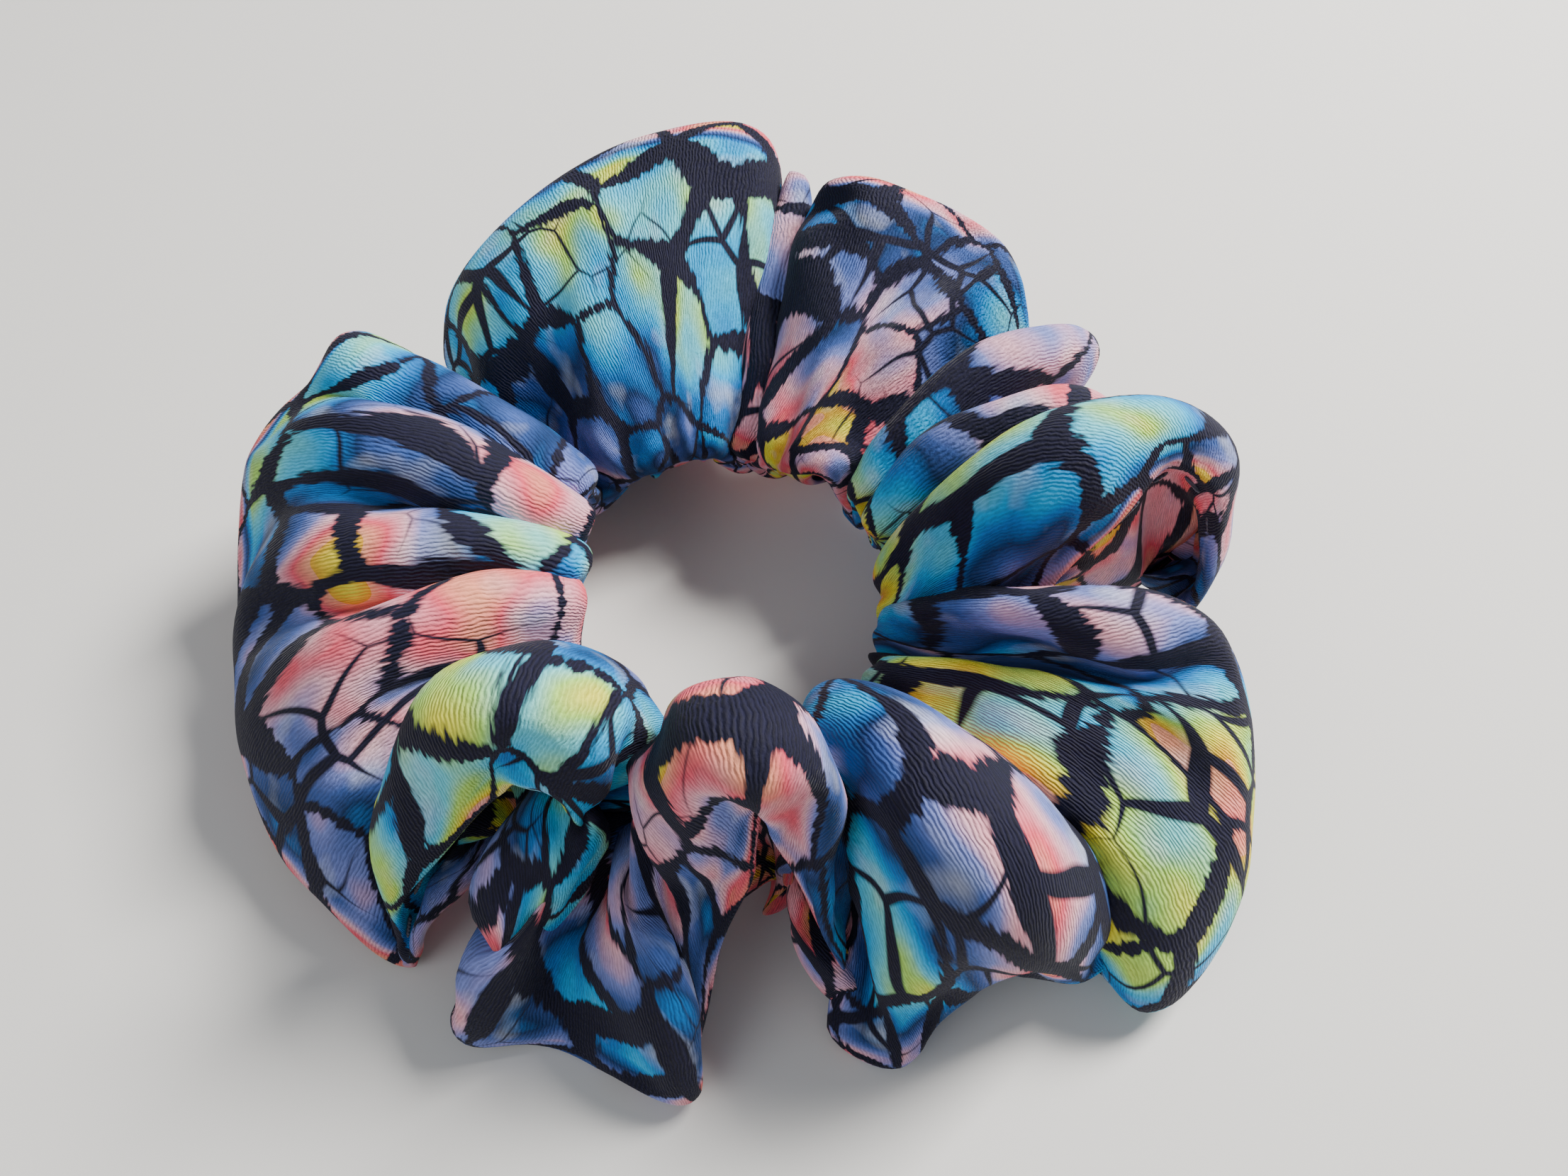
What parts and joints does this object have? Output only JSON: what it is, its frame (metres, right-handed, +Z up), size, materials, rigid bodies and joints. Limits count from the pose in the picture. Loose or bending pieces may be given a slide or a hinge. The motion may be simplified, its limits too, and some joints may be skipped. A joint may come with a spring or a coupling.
{
  "type": "scrunchie",
  "caption": "Gathered fabric hair scrunchie with ruffled lobes round a hidden elastic loop.",
  "frame": {"origin": "on the table, under the middle of the scrunchie's outer box", "axes": "+Z up out of the hair opening, +X towards the closing seam and the elastic's lap, +Y away from the viewer"},
  "size_m": [0.1174, 0.1149, 0.0404],
  "materials": {
    "printed_fabric": "fine ribbed crepe knit with a cell print in blues, aqua, lime, yellow and pink between dark outlines",
    "woven_elastic": "white braided polyester over rubber cores",
    "sewing_thread": "matt twisted polyester thread"
  },
  "bodies": {
    "ring": {"fabric_cover": "printed_fabric", "side_seam_thread": "sewing_thread", "elastic_band": "woven_elastic"},
    "joined_end": {"closing_seam_thread": "sewing_thread", "elastic_join_stitches": "sewing_thread"}
  },
  "joints": [
    {"name": "stretch", "type": "slide", "parent": "ring", "child": "joined_end", "axis": [1, 0, 0], "range_m": [0, 0.06], "stiffness_N_per_m": 30, "deforming": ["fabric_cover", "side_seam_thread", "elastic_band"]}
  ]
}
